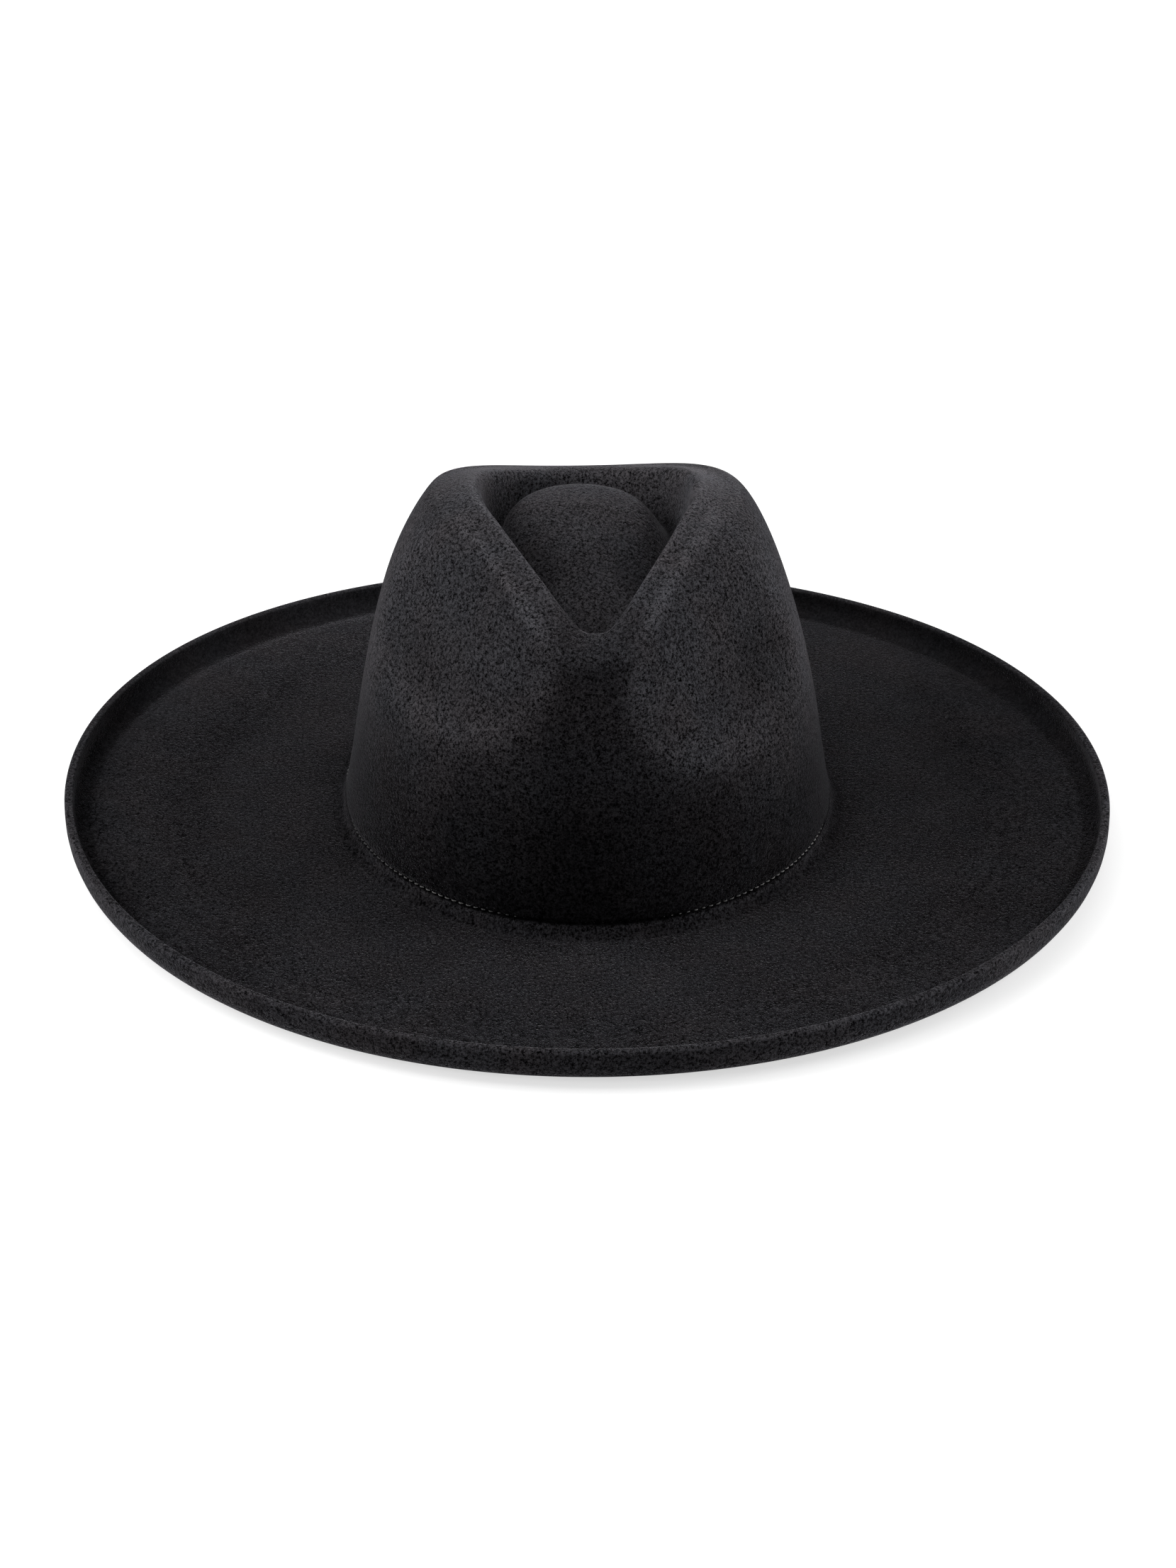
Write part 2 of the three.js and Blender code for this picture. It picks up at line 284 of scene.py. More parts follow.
# %% Break, brim and curl
BREAK_RADIUS = 5
BREAK_START = 10
BRIM = {"half": 187, "front": -200, "back": 193, "curl_radius": 11.4, "curl_turn": 93, "flat_share": 0.45}
OUTWARD = {"front": -1, "back": 1, "half": 1}
CURL_CORNER = 1.7
WAVE_COLUMNS = ("turns", "out_cos", "out_sin", "up_cos", "up_sin")
BRIM_WAVES = (
    (0, 0, 0, 1.62, 0),
    (1, 0, 0, 0, -0.78),
    (2, 0, 0.3, -0.63, 1.0),
    (3, 1.1, 0.36, 0, 0),
    (4, -0.9, 0, 0, 0),
)


def break_rings(angles, degrees, depth):
    """A quarter fillet, swept round the crown's foot. depth 0 is its upper side."""
    turn = np.radians(degrees)[:, None]
    radius = BREAK_RADIUS + depth
    start = BREAK_RADIUS * (1 - math.cos(math.radians(BREAK_START)))
    out = BREAK_RADIUS - radius * np.cos(turn) - start
    up = FELT + BREAK_RADIUS - radius * np.sin(turn)
    return oval(angles, FOOT["front"] - out, FOOT["back"] + out, FOOT["half"] + out, up)


def brim_wave(angles, cosine, sine):
    """The sum of the waves round the brim, each with a cosine and a sine part."""
    table = np.array(BRIM_WAVES, float)
    turns = table[:, 0, None] * angles
    c = table[:, WAVE_COLUMNS.index(cosine), None]
    s = table[:, WAVE_COLUMNS.index(sine), None]
    return (c * np.cos(turns) + s * np.sin(turns)).sum(0)


def brim_rings(angles, shares, out, up):
    """From the break to the curl by share, then outward by out. The outer part lifts with the square
    of how loose it is, and the outline grows with the waves."""
    shares, out, up = (np.asarray(v, float).reshape(-1, 1) for v in (shares, out, up))
    reach = {}
    for side, sign in OUTWARD.items():
        start = FOOT[side] + sign * BREAK_RADIUS
        end = BRIM[side] - sign * BRIM["curl_radius"]
        reach[side] = start + (end - start) * shares + sign * out
    points = oval(angles, reach["front"], reach["back"], reach["half"], up)
    loose = np.clip((shares - BRIM["flat_share"]) / (1 - BRIM["flat_share"]), 0, 1)
    grown = 1 + shares * brim_wave(angles, "out_cos", "out_sin") / BRIM["half"]
    points[..., :2] *= grown[..., None]
    points[..., 2] += loose * loose * brim_wave(angles, "up_cos", "up_sin")
    return points


def curl_rings(angles, shares, depth):
    """An arc from flat to just past upright. depth 0 is the side that faces in, FELT the outer one. The
    bend is a little fuller than round: by CURL_CORNER times the squared sine of twice the turn."""
    turn = np.radians(BRIM["curl_turn"] * np.asarray(shares, float))
    radius = BRIM["curl_radius"] - FELT + np.broadcast_to(np.asarray(depth, float), turn.shape)
    radius = radius + CURL_CORNER * np.sin(2 * np.minimum(turn, np.pi / 2)) ** 2
    up = BRIM["curl_radius"] - radius * np.cos(turn)
    return brim_rings(angles, np.ones(len(turn)), radius * np.sin(turn), up)


print("brim:", 2 * BRIM["half"], "mm wide before its waves, curl", BRIM["curl_radius"], "mm high")

# %% [markdown]
# ## From a grid to a mesh
# Blender holds a mesh as three flat lists: the points, the corners of all faces one after another, and
# where each face begins among them. foreach_set fills each list from a whole numpy array at once, which
# is much quicker than adding points one by one, and works for every piece below.

# %% Mesh helpers


def filled_mesh(name, points, loops, sizes):
    """A smooth mesh from points in millimetres, the corners of all faces in a row, and their counts."""
    mesh = bpy.data.meshes.new(name)
    mesh.vertices.add(len(points))
    mesh.vertices.foreach_set("co", (points * MM).astype(np.float32).ravel())
    mesh.loops.add(len(loops))
    mesh.loops.foreach_set("vertex_index", loops.astype(np.int32))
    mesh.polygons.add(len(sizes))
    mesh.polygons.foreach_set("loop_start", (np.cumsum(sizes) - sizes).astype(np.int32))
    mesh.update(calc_edges=True)
    mesh.polygons.foreach_set("use_smooth", np.ones(len(sizes), bool))
    mesh.validate()
    print(f"{name}: {len(points)} points, {int((sizes - 2).sum())} triangles")
    return mesh


def skin_mesh(name, rings, closed_ends):
    """A mesh through rings, each closed on itself: a face for every four neighbours on the grid. Where
    closed_ends says so, the first and the last ring are one point each, joined by a fan of triangles.
    Otherwise the last ring joins the first one, as in a tube bent round."""
    rows, around = rings.shape[:2]
    first, last = (1, rows - 1) if closed_ends else (0, rows)
    body = rings[first:last].reshape(-1, 3)
    count = last - first
    k = np.arange(around)
    after = (k + 1) % around
    r = np.arange(count - 1 if closed_ends else count)[:, None]
    below = (r + 1) % count
    quads = np.stack([r * around + k, below * around + k, below * around + after, r * around + after], -1)
    loops, sizes = quads.reshape(-1), np.full(quads.shape[0] * around, 4)
    if closed_ends:
        top, bottom = len(body), len(body) + 1
        body = np.concatenate([body, rings[0, :1], rings[-1, :1]])
        fan = np.stack([np.full(around, top), k, after], -1)
        base = (count - 1) * around
        under = np.stack([np.full(around, bottom), base + after, base + k], -1)
        loops = np.concatenate([loops, fan.reshape(-1), under.reshape(-1)])
        sizes = np.concatenate([sizes, np.full(2 * around, 3)])
    return filled_mesh(name, body, loops, sizes)


def vertex_attribute(mesh, name, rows, closed_ends):
    """A number for each point of the grid, stored on the mesh for its material to read."""
    body = rows[1:-1].reshape(-1) if closed_ends else rows.reshape(-1)
    if closed_ends:
        body = np.concatenate([body, rows[0, :1], rows[-1, :1]])
    layer = mesh.attributes.new(name, "FLOAT", "POINT")
    layer.data.foreach_set("value", body.astype(np.float32))


def add_piece(name, mesh, material, node):
    """Links a mesh as a piece of the hat, with its material, hangs it on the root body, and hides the
    solid that it replaces, if one is given.
    """
    piece = bpy.data.objects.new(name, mesh)
    bpy.context.scene.collection.objects.link(piece)
    mesh.materials.append(material)
    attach(piece, "root")
    if node:
        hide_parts(node)


# %% [markdown]
# ## The felt body
# The outer skin goes from the summit over the crown and brim to the cut edge, and the inner skin comes
# back underneath, one felt's thickness in. Both are rows of one grid, so the body is closed by itself.
# A Solidify modifier could give the thickness too, but here the cut edge gets its own rounded corners.

# %% Steps and shares of the felt grid
AROUND = 300
OUTER_SPANS = ((4, 32), (8, 56), (10.7, 25), (LAST_STEP, 12))
INNER_SPANS = ((8, 40), (LAST_STEP, 10))
BREAK_ROWS = 8
BRIM_ROWS = 26
CURL_ROWS = 12
CORNER_ROWS = 4
CUT_ROWS = 4
EDGE_ROUND = 0.7


def graded(spans):
    """Steps from 0 on: up to the end of each span, its number of even rows."""
    starts = [0] + [end for end, _ in spans[:-1]]
    parts = [np.linspace(start, end, rows + 1)[1:] for start, (end, rows) in zip(starts, spans)]
    return np.concatenate([[0]] + parts)


angles = np.linspace(0, 2 * np.pi, AROUND, endpoint=False)
outer_steps = graded(OUTER_SPANS)
inner_steps = graded(INNER_SPANS)
break_degrees = np.linspace(BREAK_START, 90, BREAK_ROWS + 1)[1:]
brim_shares = np.linspace(0, 1, BRIM_ROWS + 1)[1:]
curl_shares = np.linspace(0, 1, CURL_ROWS + 1)[1:]
corner_turns = np.linspace(0, np.pi / 2, CORNER_ROWS)
corner_in = EDGE_ROUND * (1 - np.sin(corner_turns))
corner_back = EDGE_ROUND * (1 - np.cos(corner_turns))
print("rows over the crown:", len(outer_steps), "outside and", len(inner_steps), "inside")

# %% The felt's two skins
SEAM = {"up": 7.7, "width": 0.9, "depth": 0.35}
SOFT_INSIDE = (7, 8.5)
SOFT_TIMES = 3


def felt_skin(steps, depth):
    """The crown's skin with its creases, moved inward by a depth. A fine groove is drawn in by the
    seam just above the foot: its depth times exp(-(d/width)^2), d the height from the seam."""
    points = crown_points(angles, steps)
    normals = crown_normals(angles, steps)
    normals[0] = (0, 0, 1)
    proud = crease_height(points, steps)
    if depth == 0:
        from_seam = (points[..., 2] - SEAM["up"]) / SEAM["width"]
        proud = proud - SEAM["depth"] * np.exp(-from_seam**2) * (steps > LAST_STEP - 1)[:, None]
    return points + normals * (proud - depth)[..., None]


def softened(rows, times):
    """Each point averaged with its neighbours on the grid, a number of times over."""
    soft = rows
    for _ in range(times):
        soft = (np.roll(soft, 1, 1) + soft + np.roll(soft, -1, 1)) / 3
        soft[1:-1] = (soft[:-2] + soft[1:-1] + soft[2:]) / 3
    return soft


def inner_skin():
    """The inside of the felt, from the foot up. Under the rim it is softened, because an even offset
    would fold over itself in so narrow a bend."""
    steps = inner_steps[::-1]
    skin = felt_skin(steps, FELT)
    narrow = 1 - smooth(steps, *SOFT_INSIDE)
    return skin + (softened(skin, SOFT_TIMES) - skin) * narrow[:, None, None]


# %% Rows of the felt grid
arc = BRIM["curl_radius"] * math.radians(BRIM["curl_turn"])
cut_depths = np.linspace(EDGE_ROUND, FELT - EDGE_ROUND, CUT_ROWS + 2)[1:-1]
upper_rows = [
    felt_skin(outer_steps, 0),
    break_rings(angles, break_degrees, 0),
    brim_rings(angles, brim_shares, 0, FELT),
    curl_rings(angles, curl_shares[:-1], 0),
]
cut_rows = [
    curl_rings(angles, 1 - corner_in / arc, corner_back),
    curl_rings(angles, np.ones(CUT_ROWS), cut_depths),
    curl_rings(angles, 1 - corner_in[::-1] / arc, FELT - corner_back[::-1]),
]
under_rows = [
    curl_rings(angles, curl_shares[-2::-1], FELT),
    brim_rings(angles, brim_shares[::-1], 0, 0),
    break_rings(angles, break_degrees[::-2], FELT),
    inner_skin(),
]
felt_rows = np.concatenate(upper_rows + cut_rows + under_rows)

crown_end = len(outer_steps)
break_end = crown_end + len(break_degrees)
brim_end = break_end + len(brim_shares)
cut_start = sum(len(rows) for rows in upper_rows)
cut_end = cut_start + sum(len(rows) for rows in cut_rows)
curl_end = cut_end + len(under_rows[0])
inside_start = len(felt_rows) - len(inner_steps)
print("rows of the felt grid:", len(felt_rows))

# %% [markdown]
# ## Painted light and shade
# The felt's colour carries painted light and shade, a number for each point of the grid. The rim, the
# raised middle, the pinches and the upturned edge are painted pale, and the front and the foot of the
# crown are painted dark, as shade. Painting an image would do it, but a number for each point of the
# grid, worked out from where the point lies, needs no unwrapping. Its material reads it later: -1 is
# darkest, and 1 is pale.

# %% Painted shading of the crown
SIDE_SHADING = {"low": -0.79, "gain": 0.52, "up": (22, 86)}
# How pale each pinch is painted, by degrees from the front: painted light and shade.
PINCH_SHADING = {
    "left_pinch": ((10, 0.35), (80, 0.3)),
    "right_pinch": ((10, 0.42), (28, 0.35), (48, -0.05), (80, 0.1)),
}
PINCH_WALL = {"far": (0.35, 0.95), "darker": 0.4}
PINCH_EDGE = {"far": 1.15, "soft": 0.25}
BEHIND = {"nap": 0.25, "around": (55, 85), "up": (25, 70)}
BESIDE_NOSE = {"around": (7, 11), "up": (82, 92)}
# How pale the top is painted, by step, from the bump's summit over the groove to the rim: a painted
# highlight on the bump and the rim, painted shade in the groove.
SHADING_BY_STEP = ((0, 0.8), (1, 0.7), (1.8, 0.25), (3, 0.2), (4, 0.9), (5, 1), (6, 0.85), (7, 0.4))
NOSE = {"steps": (4.2, 4.8), "around": (6, 16), "darker": 0.82}
GROOVE_POINT = {"steps": (1.3, 2.2), "around": (15, 40), "paler": 1.1}
TOP_ENDS = (RIM + 0.2, RIM + 1.0)
EDGE_HIGHLIGHT = 0.4


def side_nap(points):
    """The crown's side, painted light and shade: dark low down, paler with the height. A pinch has its own
    painted tone by the degrees from the front, painted shade on its lower wall, and behind and beside the
    nose the side has an even one."""
    up, around = points[..., 2], np.abs(azimuth(points))
    tone = smooth(up, *SIDE_SHADING["up"]) * SIDE_SHADING["gain"] + SIDE_SHADING["low"]
    for name, row in HOLLOWS.items():
        far = hollow_distance(points, row)
        lower_wall = smooth(far, *PINCH_WALL["far"]) * (up < row[HOLLOW_COLUMNS.index("up")])
        in_pinch = np.interp(around, *zip(*PINCH_SHADING[name])) - PINCH_WALL["darker"] * lower_wall
        tone += (in_pinch - tone) * smooth(PINCH_EDGE["far"] - far, 0, PINCH_EDGE["soft"])
    even = [smooth(around, *place["around"]) * smooth(up, *place["up"]) for place in (BEHIND, BESIDE_NOSE)]
    return tone + (BEHIND["nap"] - tone) * np.maximum(*even)


def top_nap(points, steps):
    """The top, painted light and shade: a tone for each step, painted shade where the rim runs over the
    nose, and painted light in the point of the groove, where the two ridges meet."""
    around = np.abs(azimuth(points))
    on_nose = smooth(steps, *NOSE["steps"])[:, None]
    in_point = smooth(steps, *GROOVE_POINT["steps"])[:, None] * (1 - on_nose)
    tone = np.interp(steps, *zip(*SHADING_BY_STEP))[:, None]
    tone = tone - NOSE["darker"] * on_nose * (1 - smooth(around, *NOSE["around"]))
    return tone + GROOVE_POINT["paler"] * in_point * (1 - smooth(around, *GROOVE_POINT["around"]))


def outside_nap(points, steps):
    """The top's painted tone turns into the side's below the rim, and the rim's two edges get a painted
    highlight.
    """
    side, top = side_nap(points), top_nap(points, steps)
    on_top = 1 - smooth(steps, *TOP_ENDS)[:, None]
    return side + (top - side) * on_top + EDGE_HIGHLIGHT * edge_height(points, steps)


crown_nap = outside_nap(felt_rows[:crown_end], outer_steps)
print("nap of the crown: from", crown_nap.min().round(2), "to", crown_nap.max().round(2))

# %% Painted shading of the brim and its edge
# Painted shade and light on the brim: the flat brim darker, the inside of the curl paler toward the sides
# and back, the break paler in front and darker at the sides, and the outside of the curl darker in front.
FLAT_BRIM_SHADE = -0.27
CURL_LIGHT = {"paler": 0.42, "around": (40, 110), "rows": 9}
BREAK_SHADING = {"front": 0.1, "darker": 0.3, "around": (50, 70)}
OUTER_CURL_SHADE = {"front": -0.5, "paler": 0.17, "around": (3, 18)}
# The cut edge is painted paler in front, a painted highlight, and darker behind, painted shade.
CUT_LIGHT_AND_SHADE = {"front": 1, "darker": 1.8, "around": (60, 130)}
WEAK_GRAIN = (80, 125)

around = np.abs(azimuth(felt_rows))
curl_fade = CURL_LIGHT["rows"]
on_curl = np.zeros((len(felt_rows), 1))
on_curl[brim_end - curl_fade : brim_end, 0] = np.linspace(0, 1, curl_fade + 2)[1:-1]
on_curl[brim_end:curl_end] = 1

nap = on_curl * smooth(around, *CURL_LIGHT["around"]) * CURL_LIGHT["paler"] + FLAT_BRIM_SHADE
nap[:crown_end] = crown_nap
on_break = smooth(around[crown_end:break_end], *BREAK_SHADING["around"])
nap[crown_end:break_end] = BREAK_SHADING["front"] - BREAK_SHADING["darker"] * on_break
on_outer = smooth(around[cut_end:curl_end], *OUTER_CURL_SHADE["around"])
nap[cut_end:curl_end] = OUTER_CURL_SHADE["paler"] * on_outer + OUTER_CURL_SHADE["front"]
nap[inside_start:] = side_nap(felt_rows[inside_start:])

cut = np.zeros(felt_rows.shape[:2])
on_cut = smooth(around[cut_start:cut_end], *CUT_LIGHT_AND_SHADE["around"])
cut[cut_start:cut_end] = CUT_LIGHT_AND_SHADE["front"] - CUT_LIGHT_AND_SHADE["darker"] * on_cut
curl = on_curl * smooth(around, *WEAK_GRAIN)
print("nap of the whole felt: from", nap.min().round(2), "to", nap.max().round(2))

# %% [markdown]
# ## Ridges stand proud
# A brush touches the ridges first. How far a point stands proud of its surroundings is the way from the
# softened grid to the true one, measured along the normal. The felt is made paler on ridges, wear and a
# painted highlight, and darker in hollows, painted shade. After that the rings move: the solids' box
# stands square over the origin, and the middle of the rings goes there.

# %% Proud ridges, the move to the solids' place, and the mesh
PROUD_TIMES = 14


def grid_normals(rows):
    """Outward normals of a grid: the run along the rows crossed with the run round them."""
    around = np.roll(rows, -1, 1) - np.roll(rows, 1, 1)
    along = np.gradient(rows, axis=0)
    normals = np.cross(along, around)
    return normals / (np.linalg.norm(normals, axis=-1, keepdims=True) + TINY)


proud = ((felt_rows - softened(felt_rows, PROUD_TIMES)) * grid_normals(felt_rows)).sum(-1)
proud[[0, -1]] = 0
outline = felt_rows.reshape(-1, 3)
shift = -(outline.max(0) + outline.min(0)) / 2 * (1, 1, 0)
print("rings moved by", shift.round(2), "mm; proud from", proud.min().round(2), "to", proud.max().round(2))

felt_mesh = skin_mesh("felt", felt_rows + shift, True)
for name, rows in {"proud": proud, "nap": nap, "cut": cut, "curl": curl}.items():
    vertex_attribute(felt_mesh, name, rows, True)

# %% [markdown]
# ## Felt
# Wool felt is a mat of short fibres. From near it is a speckle of lit and unlit fibre ends, a little
# longer the way it was brushed. From further off it is tufted, then cloudy where the nap lies another
# way, and the dye takes a shade warmer or cooler. So the colour is a very dark grey with a noise for
# each of these, on Object coordinates, the relief is the same speckle, and a little sheen stands for the
# loose fibres against the light. Three of the four numbers on the mesh paint light and shade into the
# colour, the one for proud ridges wear as well, and the one named curl says where its grain shows less.

# %% Material helpers


def add_node(tree, kind, **settings):
    """Adds a shader node. Settings are properties, or sockets where their name is one."""
    made = tree.nodes.new(kind)
    for name, value in settings.items():
        if hasattr(made, name):
            setattr(made, name, value)
        else:
            made.inputs[name.replace("_", " ")].default_value = value
    return made


def new_material(name, **settings):
    """A material with a Principled shader, its constants set on the shader's own sockets."""
    material = bpy.data.materials.new(name)
    material.use_nodes = True
    shader = material.node_tree.nodes["Principled BSDF"]
    for socket, value in settings.items():
        shader.inputs[socket.replace("_", " ")].default_value = value
    return material, material.node_tree, shader


def object_place(tree):
    """Where a point lies, in metres, on the piece itself."""
    return add_node(tree, "ShaderNodeTexCoord").outputs["Object"]


def stored(tree, name):
    """A number that the mesh holds for each of its points."""
    return add_node(tree, "ShaderNodeAttribute", attribute_name=name).outputs["Fac"]


def noise(tree, vector, scale, detail, rough):
    """Fractal noise on a vector, as a number about 0.5."""
    made = add_node(tree, "ShaderNodeTexNoise", Scale=scale, Detail=detail, Roughness=rough)
    tree.links.new(vector, made.inputs["Vector"])
    return made.outputs["Fac"]


def remap(tree, value, low, high, to_low, to_high):
    """Straight line from low..high to to_low..to_high, held at both ends."""
    made = add_node(tree, "ShaderNodeMapRange", From_Min=low, From_Max=high, To_Min=to_low, To_Max=to_high)
    tree.links.new(value, made.inputs["Value"])
    return made.outputs["Result"]


def swing(tree, value, amount, middle=0.5, span=0.2):
    """From minus to plus an amount, while the value goes a span to either side of its middle."""
    return remap(tree, value, middle - span, middle + span, -amount, amount)


def math_node(tree, operation, a, b):
    """One sum, product or the like of two sockets, or of a socket and a number."""
    made = add_node(tree, "ShaderNodeMath", operation=operation)
    for i, value in enumerate((a, b)):
        if isinstance(value, bpy.types.NodeSocket):
            tree.links.new(value, made.inputs[i])
        else:
            made.inputs[i].default_value = value
    return made.outputs[0]


def total(tree, first, *others):
    """The sum of sockets and numbers, two at a time."""
    for other in others:
        first = math_node(tree, "ADD", first, other)
    return first


def tinted(tree, factor, dark, light):
    """A colour between dark and light."""
    made = add_node(tree, "ShaderNodeMix", data_type="RGBA")
    made.inputs["A"].default_value = dark
    made.inputs["B"].default_value = light
    tree.links.new(factor, made.inputs["Factor"])
    return made.outputs["Result"]


def relief(tree, shader, height, strength, distance):
    """Bends the shader's normal by the slope of a height, as bump."""
    made = add_node(tree, "ShaderNodeBump", Strength=strength, Distance=distance)
    tree.links.new(height, made.inputs["Height"])
    tree.links.new(made.outputs["Normal"], shader.inputs["Normal"])


# %% Felt material
# Each noise: waves to the metre, finer layers, and how strong each layer is beside the one before.
FELT_NOISE = {
    "speckle": (1000, 2, 1.0),
    "tufts": (420, 2, 0.5),
    "clouds": (28, 3, 0.5),
    "dye": (45, 2, 0.5),
}
BRUSH_STRETCH = (1, 0.7, 1)
CLOUDS_TONE = 0.15
TUFTS_TONE = 0.15
PROUD_WEAR_AND_SHADE = 0.4
PROUD_SPAN = 0.6
CUT_TONE = 0.4
GRAIN = 0.97
GRAIN_SPAN = 0.13
GRAIN_ON_CURL = 0.45
TONE_RANGE = (-1, 3)
PALENESS_RANGE = (0.015, 1)
DYE_RANGE = (0.35, 0.65)
COOL_WOOL = (0.0535, 0.053, 0.059, 1)
WARM_WOOL = (0.0565, 0.0527, 0.057, 1)
FELT_RELIEF = {"strength": 1.0, "distance": 0.0006}

felt, tree, shader = new_material(
    "wool_felt",
    Roughness=0.95,
    Specular_IOR_Level=0.0,
    Sheen_Weight=0.2,
    Sheen_Roughness=0.2,
    Sheen_Tint=(0.95, 0.93, 1.0, 1),
)
place = object_place(tree)
brushed = add_node(tree, "ShaderNodeVectorMath", operation="MULTIPLY")
brushed.inputs[1].default_value = BRUSH_STRETCH
tree.links.new(place, brushed.inputs[0])
speckle = noise(tree, brushed.outputs[0], *FELT_NOISE["speckle"])
tufts, clouds, dye = (noise(tree, place, *FELT_NOISE[name]) for name in ("tufts", "clouds", "dye"))

# The tone paints light and shade: the stored painted shading, ridges paler (wear and painted highlight)
# and hollows darker (painted shade) by how proud they stand, and the painted cut edge. The clouds and
# tufts are the felt's own.
tone = total(
    tree,
    stored(tree, "nap"),
    swing(tree, clouds, CLOUDS_TONE),
    swing(tree, tufts, TUFTS_TONE),
    swing(tree, stored(tree, "proud"), PROUD_WEAR_AND_SHADE, 0, PROUD_SPAN),
    math_node(tree, "MULTIPLY", stored(tree, "cut"), CUT_TONE),
)
grain = swing(tree, speckle, GRAIN, span=GRAIN_SPAN)
grain_left = remap(tree, stored(tree, "curl"), 0, 1, 1, GRAIN_ON_CURL)
grain = total(tree, math_node(tree, "MULTIPLY", grain, grain_left), 1)
paleness = math_node(tree, "MULTIPLY", remap(tree, tone, *TONE_RANGE, *PALENESS_RANGE), grain)

wool = tinted(tree, remap(tree, dye, *DYE_RANGE, 0, 1), COOL_WOOL, WARM_WOOL)
colour = add_node(tree, "ShaderNodeMix", data_type="RGBA", blend_type="MULTIPLY")
colour.inputs["Factor"].default_value = 1
tree.links.new(wool, colour.inputs["A"])
tree.links.new(paleness, colour.inputs["B"])
tree.links.new(colour.outputs["Result"], shader.inputs["Base Color"])
relief(tree, shader, speckle, **FELT_RELIEF)
add_piece("felt_hat_body", felt_mesh, felt, "felt_body")
print("felt material:", len(tree.nodes), "nodes")

# %% [markdown]
# ## The band inside
# A ribbon of ribbed weave is sewn inside the head opening, where the felt would rub. It leans on the
# inside of the crown and hangs down to just above the brim's underside. Its ends overlap behind. It is
# the crown's skin once more, at two depths, so it follows the felt without a gap that shows.

# %% Sweatband
BAND = {"thickness": 1.2, "gap": 0.3, "bottom": 4, "first_step": 9.5, "rows": 14, "hem_rows": 3}
BAND_LAP = {"degrees": 180, "half_width": 7, "proud": 0.5, "soft": 0.8}
band_steps = np.linspace(BAND["first_step"], LAST_STEP, BAND["rows"])


def band_skin(depth, lap):
    """The crown's skin at a depth, then straight down to the hem. The lap stands in toward the head."""
    from_lap = np.abs(np.degrees(angles) - BAND_LAP["degrees"])
    step_in = lap * BAND_LAP["proud"] * smooth(BAND_LAP["half_width"] - from_lap, 0, BAND_LAP["soft"])
    normals = crown_normals(angles, band_steps)
    skin = crown_points(angles, band_steps) - normals * (depth + step_in)[None, :, None]
    drop = np.linspace(0, 1, BAND["hem_rows"] + 1)[1:, None]
    hem = np.repeat(skin[-1:], len(drop), 0)
    hem[..., 2] += (BAND["bottom"] - hem[..., 2]) * drop
    return np.concatenate([skin, hem])


near = FELT + BAND["gap"]
outside = band_skin(near, 0)
inside = band_skin(near + BAND["thickness"], 1)
band_rows = np.concatenate([outside, inside[::-1]]) + shift
print("band height:", (band_rows[..., 2].max() - band_rows[..., 2].min()).round(1), "mm")

# %% How far along the band each rib lies
foot_ring = outside[BAND["rows"] - 1]
ring_step = np.linalg.norm(np.diff(foot_ring, axis=0, append=foot_ring[:1]), axis=1)
along_ring = np.cumsum(ring_step) - ring_step
band_mesh = skin_mesh("band", band_rows, False)
vertex_attribute(band_mesh, "along", np.broadcast_to(along_ring, band_rows.shape[:2]), False)
print("round the band:", ring_step.sum().round(), "mm")

# %% [markdown]
# ## Ribbon
# The weave has a rib every 1.3 mm, across the band. A sine of the way along gives both its light and
# dark and its relief, wherever the band bends, and two noises add wear and single threads.

# %% Ribbon material
RIB_PITCH = 1.3
RIB_TONE = 0.3
WORN_NOISE = (40, 3, 0.6)
WEFT_NOISE = (1500, 2, 0.6)
RIBBON_TONE = 0.2
RIBBON_SPAN = (-0.7, 0.7)
RIBBON_DARK = (0.004, 0.004, 0.0042, 1)
RIBBON_LIGHT = (0.022, 0.021, 0.021, 1)
RIBBON_RELIEF = {"strength": 0.7, "distance": 0.0003}

ribbon, tree, shader = new_material(
    "band_ribbon", Roughness=0.7, Specular_IOR_Level=0.3, Sheen_Weight=0.15, Sheen_Roughness=0.4
)
place = object_place(tree)
sine = add_node(tree, "ShaderNodeMath", operation="SINE")
tree.links.new(math_node(tree, "MULTIPLY", stored(tree, "along"), 2 * math.pi / RIB_PITCH), sine.inputs[0])
ribs = sine.outputs[0]
worn = swing(tree, noise(tree, place, *WORN_NOISE), RIBBON_TONE)
weft = swing(tree, noise(tree, place, *WEFT_NOISE), RIBBON_TONE)
rib_tone = total(tree, swing(tree, ribs, RIB_TONE, 0, 1), worn, weft)
rib_colour = tinted(tree, remap(tree, rib_tone, *RIBBON_SPAN, 0, 1), RIBBON_DARK, RIBBON_LIGHT)
tree.links.new(rib_colour, shader.inputs["Base Color"])
relief(tree, shader, ribs, **RIBBON_RELIEF)
add_piece("sweatband_ribbon", band_mesh, ribbon, "sweatband")
print("ribbon material:", len(tree.nodes), "nodes")

# %% [markdown]
# ## The row of stitches
# The band is held by a row of machine stitches through the crown's foot, in a paler thread that sinks
# into the felt. Each stitch is a short arch of round thread, so one small tube is carried along the
# foot's outline some two hundred times, all in one array.

# %% Stitches along the foot
STITCH = {"pitch": 3.0, "length": 1.75, "thread": 0.4, "up": 7.75, "bow": 0.3, "thin_end": 0.55}
STITCH_SPREAD = {"place": 0.06, "slant": 0.07, "shortest": 0.85, "longest": 1.12}
